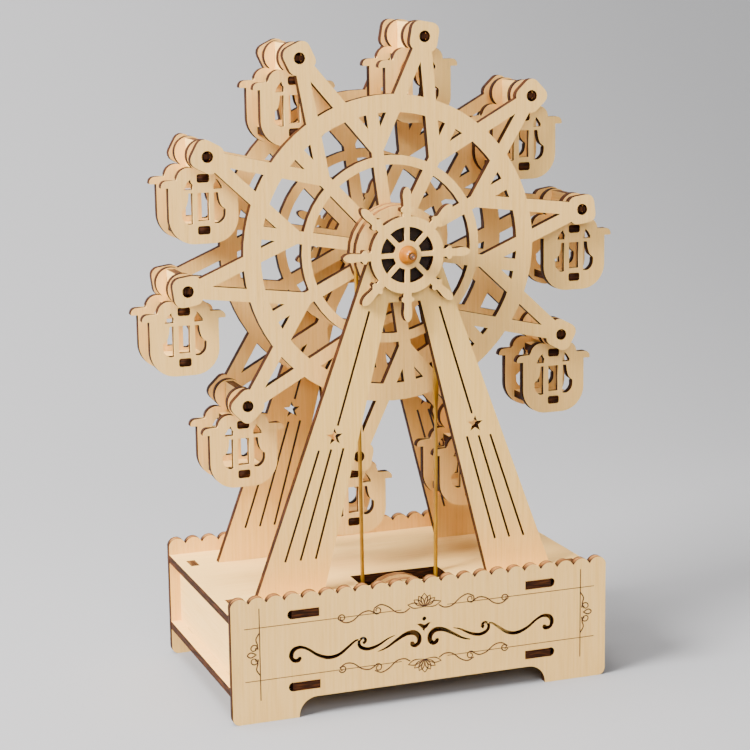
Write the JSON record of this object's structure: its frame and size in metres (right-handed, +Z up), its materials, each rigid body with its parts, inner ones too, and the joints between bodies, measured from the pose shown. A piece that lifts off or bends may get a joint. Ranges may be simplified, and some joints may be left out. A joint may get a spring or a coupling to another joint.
{
  "type": "wooden 3d jigsaw model",
  "caption": "Ferris wheel cut from plywood sheet: slotted box base, two A-frames and a twin-disc wheel with hanging gondolas, turned by a rubber band from a wind-up movement.",
  "frame": {"origin": "on the table, under the centre of the base and of the wheel", "axes": "+X to the right of the front panel, +Y from the front panel to the back panel, +Z up"},
  "size_m": [0.1766, 0.084, 0.2342],
  "materials": {
    "plywood": "bare laser-cut basswood plywood with charred edges",
    "steel": "bright drawn steel",
    "brass": "satin brass",
    "cap": "soft translucent orange plastic",
    "rubber_band": "amber natural rubber"
  },
  "bodies": {
    "base": {"front_panel": "plywood", "back_panel": "plywood", "left_side_panel": "plywood", "right_side_panel": "plywood", "deck": "plywood", "bottom_shelf": "plywood", "front_a_frame": "plywood", "rear_a_frame": "plywood", "rubber_band": "rubber_band", "movement_bedplate": "steel", "spring_barrel": "brass", "music_comb": "steel"},
    "wheel": {"front_wheel_disc": "plywood", "rear_wheel_disc": "plywood", "hub_flange_front": "plywood", "hub_core": "plywood", "hub_flange_rear": "plywood", "hub_spacer": "plywood", "rear_washer": "plywood", "axle": "steel", "front_helm": "plywood", "rear_helm": "plywood", "front_cap": "cap", "rear_cap": "cap"},
    "drive": {"drive_flange_front": "plywood", "drive_core": "plywood", "drive_flange_rear": "plywood", "music_drum": "brass"},
    "key": {"winding_key": "steel"},
    "gondola_01": {"gondola_01_front_panel": "plywood", "gondola_01_rear_panel": "plywood", "gondola_01_axle_beam": "plywood"},
    "gondola_02": {"gondola_02_front_panel": "plywood", "gondola_02_rear_panel": "plywood", "gondola_02_axle_beam": "plywood"},
    "gondola_03": {"gondola_03_front_panel": "plywood", "gondola_03_rear_panel": "plywood", "gondola_03_axle_beam": "plywood"},
    "gondola_04": {"gondola_04_front_panel": "plywood", "gondola_04_rear_panel": "plywood", "gondola_04_axle_beam": "plywood"},
    "gondola_05": {"gondola_05_front_panel": "plywood", "gondola_05_rear_panel": "plywood", "gondola_05_axle_beam": "plywood"},
    "gondola_06": {"gondola_06_front_panel": "plywood", "gondola_06_rear_panel": "plywood", "gondola_06_axle_beam": "plywood"},
    "gondola_07": {"gondola_07_front_panel": "plywood", "gondola_07_rear_panel": "plywood", "gondola_07_axle_beam": "plywood"},
    "gondola_08": {"gondola_08_front_panel": "plywood", "gondola_08_rear_panel": "plywood", "gondola_08_axle_beam": "plywood"},
    "gondola_09": {"gondola_09_front_panel": "plywood", "gondola_09_rear_panel": "plywood", "gondola_09_axle_beam": "plywood"},
    "gondola_10": {"gondola_10_front_panel": "plywood", "gondola_10_rear_panel": "plywood", "gondola_10_axle_beam": "plywood"}
  },
  "joints": [
    {"name": "wheel_spin", "type": "hinge", "parent": "base", "child": "wheel", "pos_m": [0, 0, 0.1556], "axis": [0, 1, 0], "continuous": true},
    {"name": "drive_spin", "type": "hinge", "parent": "base", "child": "drive", "pos_m": [0, 0, 0.0239], "axis": [0, 1, 0], "continuous": true},
    {"name": "key_wind", "type": "hinge", "parent": "base", "child": "key", "pos_m": [0, 0.0225, 0.005], "axis": [0, 0, 1], "continuous": true},
    {"name": "gondola_01_swing", "type": "hinge", "parent": "wheel", "child": "gondola_01", "pos_m": [0.01303, 0.0027, 0.22875], "axis": [0, 1, 0], "continuous": true},
    {"name": "gondola_02_swing", "type": "hinge", "parent": "wheel", "child": "gondola_02", "pos_m": [-0.03245, 0.0027, 0.22244], "axis": [0, 1, 0], "continuous": true},
    {"name": "gondola_03_swing", "type": "hinge", "parent": "wheel", "child": "gondola_03", "pos_m": [-0.06554, 0.0027, 0.1906], "axis": [0, 1, 0], "continuous": true},
    {"name": "gondola_04_swing", "type": "hinge", "parent": "wheel", "child": "gondola_04", "pos_m": [-0.07359, 0.0027, 0.14539], "axis": [0, 1, 0], "continuous": true},
    {"name": "gondola_05_swing", "type": "hinge", "parent": "wheel", "child": "gondola_05", "pos_m": [-0.05354, 0.0027, 0.10408], "axis": [0, 1, 0], "continuous": true},
    {"name": "gondola_06_swing", "type": "hinge", "parent": "wheel", "child": "gondola_06", "pos_m": [-0.01303, 0.0027, 0.08245], "axis": [0, 1, 0], "continuous": true},
    {"name": "gondola_07_swing", "type": "hinge", "parent": "wheel", "child": "gondola_07", "pos_m": [0.03245, 0.0027, 0.08876], "axis": [0, 1, 0], "continuous": true},
    {"name": "gondola_08_swing", "type": "hinge", "parent": "wheel", "child": "gondola_08", "pos_m": [0.06554, 0.0027, 0.1206], "axis": [0, 1, 0], "continuous": true},
    {"name": "gondola_09_swing", "type": "hinge", "parent": "wheel", "child": "gondola_09", "pos_m": [0.07359, 0.0027, 0.16581], "axis": [0, 1, 0], "continuous": true},
    {"name": "gondola_10_swing", "type": "hinge", "parent": "wheel", "child": "gondola_10", "pos_m": [0.05354, 0.0027, 0.20712], "axis": [0, 1, 0], "continuous": true}
  ],
  "couplings": [
    {"joint": "drive_spin", "follows": "wheel_spin", "ratio": 1.0752},
    {"joint": "gondola_01_swing", "follows": "wheel_spin", "ratio": -1},
    {"joint": "gondola_02_swing", "follows": "wheel_spin", "ratio": -1},
    {"joint": "gondola_03_swing", "follows": "wheel_spin", "ratio": -1},
    {"joint": "gondola_04_swing", "follows": "wheel_spin", "ratio": -1},
    {"joint": "gondola_05_swing", "follows": "wheel_spin", "ratio": -1},
    {"joint": "gondola_06_swing", "follows": "wheel_spin", "ratio": -1},
    {"joint": "gondola_07_swing", "follows": "wheel_spin", "ratio": -1},
    {"joint": "gondola_08_swing", "follows": "wheel_spin", "ratio": -1},
    {"joint": "gondola_09_swing", "follows": "wheel_spin", "ratio": -1},
    {"joint": "gondola_10_swing", "follows": "wheel_spin", "ratio": -1}
  ]
}
